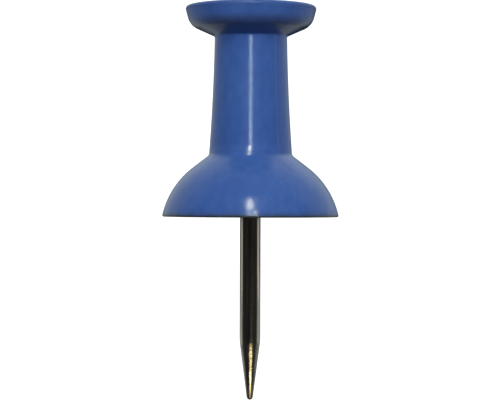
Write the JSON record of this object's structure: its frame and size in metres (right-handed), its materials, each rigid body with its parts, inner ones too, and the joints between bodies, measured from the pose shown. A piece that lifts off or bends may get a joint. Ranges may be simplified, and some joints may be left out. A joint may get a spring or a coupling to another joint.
{
  "type": "push pin",
  "caption": "Push pin with a flat-topped, waisted plastic handle moulded around a straight steel needle, pushed by hand into a board.",
  "frame": {"origin": "on the needle's axis, in the plane of the skirt's flat seat, where the needle goes into a board", "axes": "+Z along the needle's axis, up through the handle to the thumb disc; the needle's point is on the -Z side; X and Y are alike, because the part is round"},
  "size_m": [0.0106, 0.0106, 0.0237],
  "materials": {
    "blue_plastic": "satin",
    "needle_steel": "polished"
  },
  "bodies": {
    "root": {"plastic_handle": "blue_plastic", "steel_needle": "needle_steel"}
  },
  "joints": []
}
